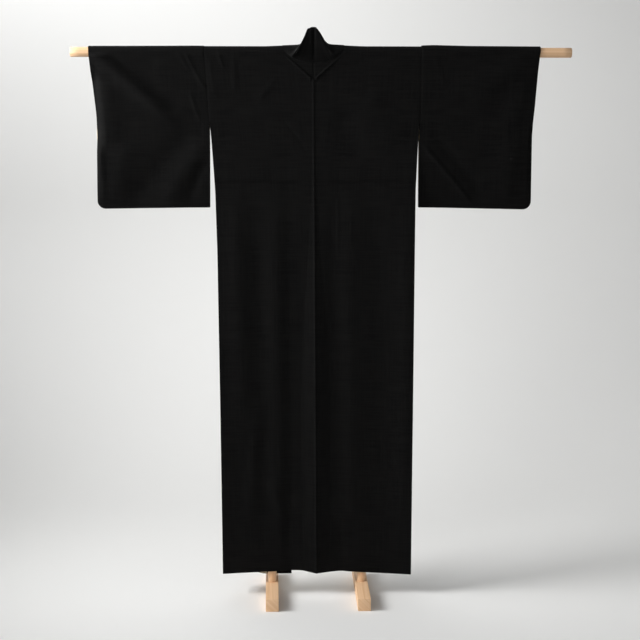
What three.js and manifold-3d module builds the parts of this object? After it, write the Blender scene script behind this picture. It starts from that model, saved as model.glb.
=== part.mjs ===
// A lined silk kimono that hangs open on a wooden stand, in millimetres.
// +Z is up, the garment's back faces -Y, and the origin is on the floor below the rod's middle.
// Left and right are those of someone who looks at the back. Each cut piece is a thin closed wall.
import * as THREE from "three";
import { mergeVertices } from "three/addons/utils/BufferGeometryUtils.js";
import Module from "manifold-3d";

// ---- the stand ----
const ROD = { radius: 15, length: 1525, height: 1711, sides: 32 };
const POST = { radius: 14, left: -157, right: 129, sides: 24 };
const FOOT = { side: 40, length: 356 };

// ---- the cloth ----
const GAP = 0.3;                       // between pieces at a seam
const ROD_CLEARANCE = 0.5;             // between the rod and the innermost layer
const CLOTH = 1.2;                     // the outer cloth
const LINING = 1.0;                    // the lining inside it
const LINING_GAP = 0.5;                // between them
const LINING_DEPTH = CLOTH / 2 + LINING_GAP + LINING;
const COLLAR_WALL = 3;                 // the collar is doubled cloth
const COLLAR_GAP = 1.1;                // from the neck edge to the middle of the collar's foot
const LINING_SETBACK = 7;              // from the side edges and hems to the lining's own edges
const BEND = ROD.radius + ROD_CLEARANCE + LINING_DEPTH;   // of the outer cloth over the rod
const QUARTER = BEND * Math.PI / 2;    // arc length from the top of the rod to its side

// ---- the cut ----
const BACK_HEM = { left: 75, right: 71 };   // heights of the hem
const FRONT_HEM = { left: 53, right: 60 };
const NECK = { half: 95, drop: 59 };   // half width at the shoulder, depth along the cloth at the back
const V_POINT = 1631;                  // height where the two creases below the neck meet
const FULL_RELIEF = 655;               // height below which the back stands out in full
const SLEEVE_SEAM_END = 1506;
const SIDE_SEAM_TOP = 1384;
const SLEEVE_HEM = { left: 1238, right: 1236 };
const SLEEVE_CORNER = 25;
const OKUMI_POINT = 232;               // from the rod's middle down to the tip of the okumi
const OKUMI_FULL = 850;                // and to the end of the collar
const FRONT_WIDTH = 245;               // of the front of a body length
const OKUMI_WIDTH = 140;
const BODY_FOLDS = 2;                  // soft folds across the front of a body length
const OKUMI_FOLDS = 1;
const FOLD_DEPTH = 44;                 // of these folds at the collar's end and below

// heights of the body's vertical edges, and where they stand
const BODY_EDGES = [
  { z: 50, left: -313, centre: -15.5, right: 286, frontLeft: -95, frontRight: 60 },
  { z: 600, left: -317, centre: -19.5, right: 286.8, frontLeft: -98, frontRight: 61 },
  { z: 1100, left: -322, centre: -22.5, right: 287.3, frontLeft: -106, frontRight: 62 },
  { z: 1290, left: -327, centre: -24, right: 288, frontLeft: -114, frontRight: 64 },
  { z: 1384, left: -333, centre: -25, right: 291.5, frontLeft: -118, frontRight: 66 },
  { z: 1506, left: -343, centre: -26, right: 298.5, frontLeft: -121, frontRight: 68 },
  { z: 1729, left: -359, centre: -27, right: 303, frontLeft: -122, frontRight: 68 },
];
const SLEEVE_EDGES = [
  { z: 1230, innerLeft: -344.5, innerRight: 298.8, left: -689, right: 647.5 },
  { z: 1506, innerLeft: -343.3, innerRight: 298.8, left: -686, right: 646 },
  { z: 1535, innerLeft: -345.4, innerRight: 299.4, left: -688, right: 649.5 },
  { z: 1660, innerLeft: -354.4, innerRight: 301.9, left: -701, right: 658 },
  { z: 1729, innerLeft: -359.3, innerRight: 303.3, left: -707, right: 666 },
];

// the collar's free edge, from its seam: inwards, out of the cloth and along it, and its bulge
const COLLAR_ROWS = [
  { s: -59, inward: 0, out: -12, along: 106, bulge: 5 },
  { s: -57, inward: 17, out: -4, along: 102, bulge: 9 },
  { s: -48, inward: 38, out: -10, along: 84, bulge: 9 },
  { s: -38, inward: 48, out: -13, along: 64, bulge: 8 },
  { s: -27, inward: 54, out: -12, along: 44, bulge: 7 },
  { s: -12, inward: 56, out: 3, along: 20, bulge: 4 },
  { s: 8, inward: 57, out: 9, along: 3, bulge: 3 },
  { s: 27, inward: 54, out: 12, along: 0, bulge: 3 },
  { s: 900, inward: 53, out: 9, along: 0, bulge: 3 },
];

// rows of the walls: depths below the rod's middle at the back and at the front
const BACK_DEPTHS = [18, 48, 80, 205, 327, 520, 880, 1260];
const FRONT_DEPTHS = [60, 205, 238, 297, 327, 560, 700, 850, 1250];
const NECK_ROWS = [-59, -57, -48, -38];
const ROW_ROOM = 8;                    // least distance from the neck to the next row of the back
const ROD_STEPS = 8;
const BODY_COLUMNS = [0, 0.06, 0.15, 0.27, 0.39, 0.5, 0.6, 0.7, 0.79, 0.88, 0.95, 1];
const OKUMI_COLUMNS = [0, 0.17, 0.34, 0.5, 0.67, 0.83, 1];
const SLEEVE_COLUMNS = [0, 0.25, 0.5, 0.75, 0.9, 1];
const SLEEVE_ROWS = [0, 3, 10, 25, 110, 180, 271, 360];   // above the sleeve's bottom edge
const COLLAR_COLUMNS = [0, 0.2, 0.5, 0.8, 1];

const BLACK = { color: 0x17171a, roughness: 0.9, metalness: 0 };
const CREAM = { color: 0xd8cbb0, roughness: 0.8, metalness: 0 };
const WOOD = { color: 0xd2b48c, roughness: 0.6, metalness: 0 };

const lerp = (a, b, t) => a + (b - a) * t;
const clamp01 = (t) => Math.min(1, Math.max(0, t));
const ease = (t) => clamp01(t) ** 2 * (3 - 2 * clamp01(t));

// a column of a table at a height or length, on straight lines between its rows
function read(table, key, column, at) {
  const next = table.findIndex((row) => row[key] >= at);
  if (next === 0) return table[0][column];
  if (next < 0) return table[table.length - 1][column];
  const a = table[next - 1];
  const b = table[next];
  return lerp(a[column], b[column], (at - a[key]) / (b[key] - a[key]));
}

// the section over the rod: s is the length along the cloth, 0 on top and negative at the back
function overRod(s) {
  const angle = Math.max(-Math.PI / 2, Math.min(Math.PI / 2, s / BEND));
  const below = Math.max(0, Math.abs(s) - QUARTER);
  return { y: BEND * Math.sin(angle), z: ROD.height + BEND * Math.cos(angle) - below, angle, below };
}

// how far the back stands out from a plumb wall, by the distance from the centre seam
function backRelief(across, halfWidth, z) {
  const down = ease((V_POINT - z) / (V_POINT - FULL_RELIEF));
  const ridgeHeight = lerp(6, 24, down);
  const ridgeWidth = lerp(38, 72, down);
  const aboveV = clamp01((z - V_POINT) / (ROD.height + BEND - V_POINT));
  const crease = Math.abs(across - NECK.half * aboveV);
  const ridge = ridgeHeight * Math.max(0, 1 - crease / ridgeWidth) ** 1.4;
  const hollow = 8 * down * Math.exp(-(((across - 78) / 24) ** 2));
  const side = 9 * down * clamp01(across / halfWidth) ** 4;
  const belowRod = ease((ROD.height - z) / 50);
  return belowRod * (ridge - hollow + side);
}

// a body length with its okumi, as one surface: at the back f runs from the side edge to the
// centre seam or neck, and at the front to the collar seam
function bodyForm(side) {
  const left = side === "left";
  const sign = left ? -1 : 1;
  return (f, s) => {
    const at = overRod(s);
    const sideX = read(BODY_EDGES, "z", side, at.z);
    const centreX = read(BODY_EDGES, "z", "centre", at.z);
    const halfWidth = Math.abs(sideX - centreX);
    if (s <= 0) {
      const opening = s > -NECK.drop ? NECK.half * Math.sqrt(1 - (s / NECK.drop) ** 2) : 0;
      const across = lerp(halfWidth, opening, f);
      const relief = backRelief(across, halfWidth, at.z);
      return new THREE.Vector3(centreX + sign * across, at.y - relief, at.z);
    }
    const frontX = read(BODY_EDGES, "z", left ? "frontLeft" : "frontRight", at.z);
    const width = Math.abs(frontX - sideX);
    const fold = frontFold(f, s);
    const seamY = -BEND - backRelief(halfWidth, halfWidth, at.z) + CLOTH + GAP;
    const sewn = ease((SIDE_SEAM_TOP + 30 - at.z) / 30);
    const wedge = (1 - ease(f * width / 46)) * sewn;
    return new THREE.Vector3(lerp(sideX, frontX, f), lerp(at.y + fold, seamY, wedge), at.z);
  };
}

// where the okumi is sewn on, as a share of the front's width
function okumiSeam(s) {
  const below = Math.abs(s) - QUARTER;
  if (s <= 0 || below <= OKUMI_POINT) return 1;
  const okumi = OKUMI_WIDTH * clamp01((below - OKUMI_POINT) / (OKUMI_FULL - OKUMI_POINT));
  return FRONT_WIDTH / (FRONT_WIDTH + okumi);
}

// how far a front stands out in folds, which leave the okumi seam where it hangs
function frontFold(f, s) {
  const grown = ease((Math.abs(s) - QUARTER - OKUMI_POINT) / (OKUMI_FULL - OKUMI_POINT));
  const seam = okumiSeam(s);
  const onBody = f <= seam || seam === 1;
  const waves = onBody ? BODY_FOLDS * f / seam : OKUMI_FOLDS * (f - seam) / (1 - seam);
  return FOLD_DEPTH * grown * (1 - Math.cos(2 * Math.PI * waves)) / 2;
}

// a folded sleeve: u runs from the body seam to the wrist, and s over the rod as on the body
function sleeveForm(side) {
  const left = side === "left";
  const sign = left ? -1 : 1;
  return (u, s) => {
    const at = overRod(s);
    const bottom = SLEEVE_HEM[side];
    const inner = read(SLEEVE_EDGES, "z", left ? "innerLeft" : "innerRight", at.z);
    const wrist = read(SLEEVE_EDGES, "z", side, at.z);
    const rise = clamp01((at.z - bottom) / SLEEVE_CORNER);
    const rounding = SLEEVE_CORNER * (1 - Math.sqrt(1 - (1 - rise) ** 2));
    const x = lerp(inner, wrist - sign * rounding, u);
    const closing = clamp01((SLEEVE_SEAM_END - at.z) / (SLEEVE_SEAM_END - bottom));
    const sewnEdge = ease((SLEEVE_SEAM_END - at.z) / 40) * (1 - ease((1 - u) * 5));
    const open = (1 - closing ** 2) * (1 - sewnEdge);
    const closed = LINING_DEPTH + GAP / 2;
    const y = Math.sign(at.y) * lerp(closed, Math.abs(at.y), open);
    return new THREE.Vector3(x, at.below > 0 ? y : at.y, at.z);
  };
}

// the collar: t runs from the neck edge to the free edge, and s along the seam
function collarForm(body) {
  return (t, s) => {
    const at = overRod(s);
    const foot = body(1, s);
    const centre = read(BODY_EDGES, "z", "centre", at.z);
    const inwards = Math.sign(centre - body(0, s).x);
    const row = (column) => read(COLLAR_ROWS, "s", column, s);
    const out = new THREE.Vector3(0, Math.sin(at.angle), Math.cos(at.angle));
    const along = new THREE.Vector3(0, Math.cos(at.angle), -Math.sin(at.angle));
    const turn = s < 0 ? Math.asin(Math.min(1, -s / NECK.drop)) : 0;
    foot.x += inwards * COLLAR_GAP * Math.cos(turn);
    foot.addScaledVector(along, COLLAR_GAP * Math.sin(turn));
    foot.x += inwards * row("inward") * t;
    foot.addScaledVector(along, row("along") * t);
    return foot.addScaledVector(out, row("out") * t + row("bulge") * 4 * t * (1 - t));
  };
}

// a closed wall on a grid of points, from `inner` to `outer` along the normals of its form
function wall(rows, inner, outer) {
  const columns = rows[0].length;
  const positions = [];
  for (const layer of [inner, outer]) {
    for (const row of rows) {
      for (const { point, normal } of row) {
        positions.push(...point.clone().addScaledVector(normal, layer).toArray());
      }
    }
  }
  const layerSize = rows.length * columns;
  const index = [];
  const quad = (a, b, c, d) => index.push(a, b, c, a, c, d);
  const id = (layer, row, column) => layer * layerSize + row * columns + column;
  for (let j = 0; j + 1 < rows.length; j += 1) {
    for (let i = 0; i + 1 < columns; i += 1) {
      quad(id(1, j, i), id(1, j, i + 1), id(1, j + 1, i + 1), id(1, j + 1, i));
      quad(id(0, j, i), id(0, j + 1, i), id(0, j + 1, i + 1), id(0, j, i + 1));
    }
  }
  for (let i = 0; i + 1 < columns; i += 1) {
    const last = rows.length - 1;
    quad(id(0, 0, i), id(0, 0, i + 1), id(1, 0, i + 1), id(1, 0, i));
    quad(id(0, last, i + 1), id(0, last, i), id(1, last, i), id(1, last, i + 1));
  }
  for (let j = 0; j + 1 < rows.length; j += 1) {
    const last = columns - 1;
    quad(id(0, j + 1, 0), id(0, j, 0), id(1, j, 0), id(1, j + 1, 0));
    quad(id(0, j, last), id(0, j + 1, last), id(1, j + 1, last), id(1, j, last));
  }
  const geometry = new THREE.BufferGeometry();
  geometry.setAttribute("position", new THREE.Float32BufferAttribute(positions, 3));
  geometry.setIndex(index);
  return signedVolume(geometry) < 0 ? turnedOut(geometry) : geometry;
}

function signedVolume(geometry) {
  const position = geometry.getAttribute("position");
  const corner = [0, 1, 2].map(() => new THREE.Vector3());
  let total = 0;
  for (let k = 0; k < geometry.index.count; k += 3) {
    corner.forEach((point, n) => point.fromBufferAttribute(position, geometry.index.getX(k + n)));
    total += corner[0].dot(corner[1].clone().cross(corner[2]));
  }
  return total / 6;
}

function turnedOut(geometry) {
  const flipped = [];
  const old = geometry.index.array;
  for (let k = 0; k < old.length; k += 3) flipped.push(old[k], old[k + 2], old[k + 1]);
  geometry.setIndex(flipped);
  return geometry;
}

// the grid of a form: a point for each row and column, with the way out of the cloth there. At a
// bend between two columns that way is mitred, so that layers on either side of it stay apart.
function gridOf(form, rowPositions, columnsAt, outwards) {
  const step = 0.01;
  return rowPositions.map((s) => {
    const columns = columnsAt(s);
    const points = columns.map((u) => form(u, s));
    return points.map((point, k) => {
      const inside = k > 0 && k < points.length - 1;
      const before = inside ? point.clone().sub(points[k - 1]).normalize() : form(columns[k], s);
      const after = inside ? points[k + 1].clone().sub(point).normalize() : form(columns[k], s);
      if (!inside) {
        before.sub(form(columns[k] - step, s)).normalize();
        after.sub(form(columns[k] + step, s)).negate().normalize();
      }
      const across = before.add(after).multiplyScalar(0.5);
      const mitre = 1 / Math.max(0.5, across.length());
      const along = form(columns[k], s + step).sub(form(columns[k], s - step));
      const normal = across.cross(along).normalize();
      if (outwards(s).dot(normal) < 0) normal.negate();
      return { point, normal: normal.multiplyScalar(mitre) };
    });
  });
}

function outOfRod(s) {
  const { angle } = overRod(s);
  return new THREE.Vector3(0, Math.sin(angle), Math.cos(angle));
}

const rodRows = Array.from({ length: ROD_STEPS + 1 }, (_, k) => QUARTER * (2 * k / ROD_STEPS - 1));
const backHemRow = (side) => -(QUARTER + ROD.height - BACK_HEM[side]);
const backRows = (side) => [backHemRow(side), ...BACK_DEPTHS.map((d) => -(QUARTER + d)).reverse()];
const frontHemRow = (side) => QUARTER + ROD.height - FRONT_HEM[side];
const frontRows = (side) => [...FRONT_DEPTHS.map((d) => QUARTER + d), frontHemRow(side)];
const byLength = (a, b) => a - b;
const bodyRows = (side) =>
  [...backRows(side).filter((s) => s < NECK_ROWS[0] - ROW_ROOM), ...NECK_ROWS, ...rodRows]
    .concat(frontRows(side))
    .sort(byLength);

// across a body length: its side edge, the lining's edge, and on to the seam with its neighbour
function bodyColumns(form) {
  return (s) => {
    const width = Math.abs(form(1, s).x - form(0, s).x);
    const first = LINING_SETBACK / width;
    const last = okumiSeam(s) - GAP / 2 / width;
    return [0, ...BODY_COLUMNS.map((u) => lerp(first, last, u))];
  };
}

// a body length is worn over the shoulder in one piece. Its back and front are two walls here,
// which meet on top of the rod
function panel(side, isFront) {
  const form = bodyForm(side);
  const rows = bodyRows(side)
    .filter((s) => (isFront ? s >= -1e-6 : s <= 1e-6))
    .map((s) => (Math.abs(s) < 1e-6 ? (isFront ? 1 : -1) * GAP / 2 : s));
  return wall(gridOf(form, rows, bodyColumns(form), outOfRod), -CLOTH / 2, CLOTH / 2);
}

// the lining has the body's own points, moved in, with its edges set back
function liningLength(side) {
  const form = bodyForm(side);
  const rows = bodyRows(side);
  rows[0] += LINING_SETBACK;
  rows[rows.length - 1] -= LINING_SETBACK;
  const columns = (s) => bodyColumns(form)(s).slice(1);
  return wall(gridOf(form, rows, columns, outOfRod), -LINING_DEPTH, -CLOTH / 2 - LINING_GAP);
}

function okumi(side) {
  const form = bodyForm(side);
  const rows = frontRows(side).filter((s) => s - QUARTER > OKUMI_POINT);
  const columns = (s) => {
    const seam = GAP / 2 / Math.abs(form(1, s).x - form(0, s).x);
    return OKUMI_COLUMNS.map((u) => lerp(okumiSeam(s) + seam, 1, u));
  };
  return wall(gridOf(form, rows, columns, outOfRod), -LINING_DEPTH, CLOTH / 2);
}

function sleeve(side) {
  const form = sleeveForm(side);
  const reach = QUARTER + ROD.height - SLEEVE_HEM[side];
  const rows = [
    ...SLEEVE_ROWS.map((up) => up - reach),
    ...rodRows,
    ...SLEEVE_ROWS.map((up) => reach - up).reverse(),
  ];
  return wall(gridOf(form, rows, () => SLEEVE_COLUMNS, outOfRod), -LINING_DEPTH, CLOTH / 2);
}

// the collar goes up one front, round the neck and down the other in one band
function collar() {
  const ends = QUARTER + OKUMI_FULL;
  const half = (side) => {
    const rows = bodyRows(side).filter((s) => s >= NECK_ROWS[0] && s <= ends);
    return gridOf(collarForm(bodyForm(side)), rows, () => COLLAR_COLUMNS, outOfRod);
  };
  const leftHalf = half("left");
  const rightHalf = half("right");
  const middle = leftHalf[0].map(({ point, normal }, k) => ({
    point: point.clone().add(rightHalf[0][k].point).multiplyScalar(0.5),
    normal: normal.clone().add(rightHalf[0][k].normal).normalize(),
  }));
  const rows = [...leftHalf.slice(1).reverse(), middle, ...rightHalf.slice(1)];
  return wall(rows, -COLLAR_WALL / 2, COLLAR_WALL / 2);
}

// ---- the stand's pieces ----
const wasm = await Module();
wasm.setup();

function solidOf(geometry) {
  const bare = geometry.clone();
  bare.deleteAttribute("normal");
  bare.deleteAttribute("uv");
  const merged = mergeVertices(bare);
  const vertProperties = new Float32Array(merged.getAttribute("position").array);
  const triVerts = new Uint32Array(merged.index.array);
  return new wasm.Manifold(new wasm.Mesh({ numProp: 3, vertProperties, triVerts }));
}

function geometryOf(solid) {
  const { vertProperties, triVerts } = solid.getMesh();
  const geometry = new THREE.BufferGeometry();
  geometry.setAttribute("position", new THREE.Float32BufferAttribute(vertProperties, 3));
  geometry.setIndex(Array.from(triVerts));
  return geometry;
}

function rodCylinder(radius, length) {
  return new THREE.CylinderGeometry(radius, radius, length, ROD.sides)
    .rotateZ(Math.PI / 2)
    .translate(0, 0, ROD.height);
}

// a post stands on its foot, and its top is coped to the rod
function post(x) {
  const height = ROD.height - FOOT.side;
  const stick = new THREE.CylinderGeometry(POST.radius, POST.radius, height, POST.sides)
    .rotateX(Math.PI / 2)
    .translate(x, 0, FOOT.side + height / 2);
  const saddle = rodCylinder(ROD.radius + GAP, 4 * POST.radius).translate(x, 0, 0);
  return geometryOf(solidOf(stick).subtract(solidOf(saddle)));
}

function foot(x) {
  return new THREE.BoxGeometry(FOOT.side, FOOT.length, FOOT.side).translate(x, 0, FOOT.side / 2);
}

const group = new THREE.Group();
function add(name, geometry, finish) {
  const mesh = new THREE.Mesh(geometry, new THREE.MeshStandardMaterial(finish));
  mesh.name = name;
  group.add(mesh);
}

add("rod", rodCylinder(ROD.radius, ROD.length), WOOD);
add("collar", collar(), BLACK);
for (const side of ["left", "right"]) {
  add(`post_${side}`, post(POST[side]), WOOD);
  add(`foot_${side}`, foot(POST[side]), WOOD);
  add(`back_${side}`, panel(side, false), BLACK);
  add(`front_${side}`, panel(side, true), BLACK);
  add(`lining_${side}`, liningLength(side), CREAM);
  add(`okumi_${side}`, okumi(side), BLACK);
  add(`sleeve_${side}`, sleeve(side), BLACK);
}

export default group;
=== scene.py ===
"""A lined silk kimono that hangs open over the rod of a wooden stand.

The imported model's frame says where the pieces are. Each cut piece becomes a thin closed shell on the
same form, with its folds, and the stand gets chamfered, grained wood. Left and right are those of
someone who looks at the back, which faces -Y.
"""
import math

import bmesh
import bpy
import numpy as np
from bpy.props import FloatProperty, FloatVectorProperty, IntProperty, PointerProperty
from mathutils import Matrix, Vector


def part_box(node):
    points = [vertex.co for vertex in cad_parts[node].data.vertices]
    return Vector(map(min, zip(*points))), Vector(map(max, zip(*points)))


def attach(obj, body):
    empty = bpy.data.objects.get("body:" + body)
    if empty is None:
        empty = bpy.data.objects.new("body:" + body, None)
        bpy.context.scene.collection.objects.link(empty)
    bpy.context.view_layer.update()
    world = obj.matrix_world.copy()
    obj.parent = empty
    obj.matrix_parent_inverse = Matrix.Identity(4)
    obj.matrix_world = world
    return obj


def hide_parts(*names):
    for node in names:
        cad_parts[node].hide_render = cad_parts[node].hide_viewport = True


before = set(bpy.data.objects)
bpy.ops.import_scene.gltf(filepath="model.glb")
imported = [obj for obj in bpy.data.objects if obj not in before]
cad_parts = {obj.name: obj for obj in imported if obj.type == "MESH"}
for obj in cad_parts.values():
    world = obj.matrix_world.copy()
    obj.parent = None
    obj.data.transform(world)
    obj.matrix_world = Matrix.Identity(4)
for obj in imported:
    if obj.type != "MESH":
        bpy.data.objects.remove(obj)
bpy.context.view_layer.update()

bl_info = {
    "name": "Tsumugi Kimono on a Stand",
    "version": (1, 0, 0),
    "blender": (4, 5, 0),
    "location": "3D View > Sidebar > Kimono",
    "description": "Cloth, lining, collar and stand of a hung kimono",
    "category": "Add Mesh",
}

MM = 0.001                       # the sizes and tables below are millimetres, and meshes are metres
SIDES = {"left": -1, "right": 1}                 # with the sign of x on each


def table(columns, rows):
    """A short table as one array for each named column."""
    return dict(zip(columns.split(), np.array(rows, float).T))


def read(rows, key, column, at, blur=0.0):
    """A column of a table at a height or length, with its corners rounded over `blur`."""
    shifts = np.linspace(-blur, blur, 7) if blur else (0.0,)
    return sum(np.interp(at + shift, rows[key], rows[column]) for shift in shifts) / len(shifts)


def lerp(a, b, t):
    return a + (b - a) * t


def clamp01(t):
    return np.clip(t, 0.0, 1.0)


def ease(t):
    return clamp01(t) ** 2 * (3 - 2 * clamp01(t))


def stacked(*parts):
    """Arrays and numbers, spread to one shape and joined along a new last axis."""
    return np.stack(np.broadcast_arrays(*parts), axis=-1)


def node_box(name):
    """Lowest and highest corner of a node of the frame."""
    low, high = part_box(name)
    return np.array(low) / MM, np.array(high) / MM


# ---- the stand, from the frame ----
ROD_LOW, ROD_HIGH = node_box("rod")
ROD_RADIUS = (ROD_HIGH[2] - ROD_LOW[2]) / 2
ROD_HEIGHT = (ROD_HIGH[2] + ROD_LOW[2]) / 2
COPE_GAP = 0.3                   # between a post's coped top and the rod
COLLAR_CLEARANCE = 0.8           # least gap between the collar and the rod

# ---- the cloth ----
GAP = 0.3                        # between pieces at a seam
CLOTH = 1.2                      # the outer cloth
LINING = 1.0
LINING_GAP = 0.5                 # between cloth and lining
LINING_DEPTH = CLOTH / 2 + LINING_GAP + LINING
LINING_SETBACK = 7               # of the body's lining from its edges
SLIT_SETBACK = (0.35, 1.4)       # shares of it beside the sleeve seam and in the slit below it
COLLAR_WALL = 3                  # the collar is doubled cloth
COLLAR_WIDTH = 55
COLLAR_GAP = 0.9                 # between the collar's middle and the edge of the neck
COLLAR_VALLEY = {"depth": 6, "half": 8}          # the hollow between the collar's two lobes
COLLAR_RIM = {"at": -41, "width": 5, "height": {"left": 22, "right": 3}}   # where it turns forward
BEND = ROD_RADIUS + 0.5 + LINING_DEPTH          # of the outer cloth over the rod
QUARTER = BEND * math.pi / 2                    # arc from the rod's top to its side

# ---- the cut ----
NECK_HALF = 95                   # half width of the neck opening at the shoulder
NECK_DROP = 59                   # its depth along the cloth at the back
CREASE_HALF = 116                # half width of the two creases below the neck, at the shoulder
V_POINT = 1627                   # where the two creases below the neck meet
FULL_RELIEF = 655                # height below which the back stands out in full
SLEEVE_SEAM_END = 1506
SIDE_SEAM_TOP = 1384
SLEEVE_CORNER = 25
WRIST_ROUND = 1 / 22             # share of a sleeve's width over which its sewn edge closes
OKUMI_POINT = 232                # from the rod's middle down to the okumi's tip
OKUMI_FULL = 850                 # and to the end of the collar
FRONT_WIDTH = 245
OKUMI_WIDTH = 140
BODY_FOLDS = 2                   # hanging folds across the front of a body length
OKUMI_FOLDS = 1
FOLD_DEPTH = 44
TUCK = 1322                      # height of the tuck across the back
TUCK_STEP = 1.7                  # how far the cloth above it stands out over the cloth below
SEAM_PRESS, CREASE_PRESS = 1.6, 3.8              # height of the pressed centre seam and creases
CREASE_WIDTH = 5.5
NECK_SEAM = {"depth": 1.2, "width": 2.6}         # the centre seam above the two creases
SEAM_DIP = {"depth": 0.7, "width": 4}            # where cloth is drawn in along a sewn seam
CENTRE_RIDGE = 11                # how far the centre stands out at the bottom
RIDGE_WIDTH = (8, 46)            # at the top and at the bottom
CENTRE_HOLLOW = {"depth": 4, "at": 78, "width": 24}              # beside the ridge
SIDE_RISE = 6                    # how far the side seams stand out at the bottom
FRONT_DRAW = 46                  # how far in from its side seam a front is drawn to the back

# vertical edges of the body by height
BODY_EDGES = table("z left centre right front_left front_right", [
    (50, -313, -15.5, 286, -95, 60),
    (600, -317, -19.5, 286.8, -98, 61),
    (1100, -322, -22.5, 287.3, -106, 62),
    (1290, -327, -24, 288, -114, 64),
    (1384, -333, -25, 291.5, -118, 66),
    (1450, -337.6, -25.6, 294.4, -120, 67),
    (1488, -341, -26, 296.8, -121, 68),
    (1506, -343, -26, 298.5, -121, 68),
    (1729, -359, -27, 303, -122, 68),
])
# inner and outer edges of the sleeves by height
SLEEVE_EDGES = table("z inner_left inner_right left right", [
    (1230, -344.5, 298.8, -689, 647.5),
    (1506, -343.3, 298.8, -686, 646),
    (1535, -345.4, 299.4, -688, 649.5),
    (1660, -354.4, 301.9, -701, 658),
    (1729, -359.3, 303.3, -707, 666),
])
# height of the hem at the back by place across
BACK_HEM = table("x z", [
    (-313, 73), (-205, 76.5), (-65, 81.5), (-17, 73), (60, 77.5), (165, 71.5), (286, 66),
])
HEM_MIDDLE = 76
FRONT_HEM_SLOPE = 0.33           # rise of the front hem for each millimetre that a fold turns in
FRONT_HEM = {"left": 53, "right": 60}
CORNER_DROP = table("x down", [(-215, 0), (-185, 7), (-60, 7), (-55, 0)])   # of the left front hem
SLEEVE_HEM = {"left": (1240, 1236), "right": (1239.5, 1232.5)}   # at the seam and at the wrist
# how far the cloth rides up off the rod by place across
BODY_LIFT = table("x up", [
    (-359, 0), (-170, 0), (-111, 2.5), (-70, 2), (40, 4.3), (120, 0.4), (303, 0.3),
])
SLEEVE_LIFT = {
    "left": table("x up", [(-707, 0), (-470, 0.7), (-400, 1.5), (-359, 1.0)]),
    "right": table("x up", [(303, 3), (335, 4.8), (450, 2), (666, 1)]),
}
# the collar's free edge, from its seam: inwards, out of the cloth and along it, its bulge, and how
# late across its width it turns up off the shoulder
COLLAR_COLUMNS = "s inward out along bulge curl"
COLLAR_ROWS = {
    "left": table(COLLAR_COLUMNS, [
        (-59, 0, -3, 107, 8, 1),
        (-57, 20, -3, 100.5, 10, 1),
        (-48, 38, -2, 90, 11, 1.1),
        (-38, 52, -5, 64, 8, 1.5),
        (-27, 59, -8, 39, 3, 2.3),
        (-12, 60, 1, 17, 0, 3),
        (8, 58, 4, 3, 1, 2),
        (27, 54, 9, 0, 3, 1),
        (900, 53, 9, 0, 3, 1),
    ]),
    "right": table(COLLAR_COLUMNS, [
        (-59, 0, -3, 107, 8, 1),
        (-57, 20, -3, 100.5, 9, 1),
        (-48, 42, -3, 86, 9, 1.1),
        (-38, 49, -7, 62, 6, 1.5),
        (-27, 52, -9, 36, 3, 2.3),
        (-12, 51, 1, 17, 1, 3),
        (8, 51, 4, 3, 1, 2),
        (27, 52, 9, 0, 3, 1),
        (900, 53, 9, 0, 3, 1),
    ]),
}

# Folds, listed one by one. Each is a ridge, or a trough where its height is negative, along a bowed line
# from
# (x0, z0) to (x1, z1). `edge` runs from 0, round, to 1, pressed.
FOLD_COLUMNS = "x0 z0 x1 z1 width height bow edge"
BACK_FOLDS = table(FOLD_COLUMNS, [
    (-262, 1330, -236, 420, 32, 4.4, 8, 0),
    (-206, 1330, -182, 90, 28, -2.8, -9, 0),
    (-138, 1360, -126, 80, 32, 3.4, 9, 0),
    (-60, 1330, -52, 60, 24, -2.3, 6, 0),
    (30, 1330, 28, 60, 20, -2.8, -3, 0),
    (82, 1360, 104, 80, 36, 2.9, 10, 0),
    (166, 1330, 190, 70, 38, -2.8, -8, 0),
    (264, 1330, 262, 100, 24, 2.9, 0, 0),
    (49, 1300, 49, 1070, 5, 0.9, 0, 0.6),
    (-305, 876, -140, 870, 7, 1.7, 3, 0.5),
    (-300, 862, -150, 858, 7, -1.0, 3, 0),
    (-250, 1206, -50, 1203, 8, 0.8, 2, 0.4),
    (-187, 660, -222, 230, 24, 4.2, 8, 0),
    (-163, 390, -112, 235, 16, 2.9, 4, 0),
    (-109, 360, -105, 130, 16, -2.4, 0, 0),
    (8, 352, 95, 190, 18, 2.8, -5, 0),
    (-322, 1738, -296, 1655, 5, 1.4, 1, 0.3),
    (-342, 1700, -322, 1560, 5, 1.0, 2, 0.2),
    (-267, 1710, -263, 1585, 8, 1.2, 1, 0.1),
    (-130, 1515, -46, 1412, 6, -1.8, -4, 0.2),
    (-130, 1640, -200, 1560, 8, 1.4, 2, 0.1),
    (-270, 1540, -60, 1530, 10, 1.0, 3, 0.2),
    (120, 1600, 250, 1420, 44, 3.0, 10, 0),
    (60, 1560, 110, 1360, 34, -2.7, 4, 0),
])
FRONT_FOLDS = table(FOLD_COLUMNS, [
    (-330, 1690, -170, 1420, 34, 6, 12, 0),
    (-240, 1700, -140, 1500, 22, -4, -6, 0),
    (280, 1690, 140, 1440, 34, 6, -12, 0),
    (210, 1700, 110, 1520, 22, -4, 6, 0),
    (-300, 1180, -190, 1160, 9, 1.6, 3, 0.4),
    (150, 1240, 270, 1255, 9, 1.6, 3, 0.4),
    (-280, 620, -170, 560, 20, 3, 5, 0),
    (140, 700, 250, 640, 20, 3, -5, 0),
])
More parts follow.
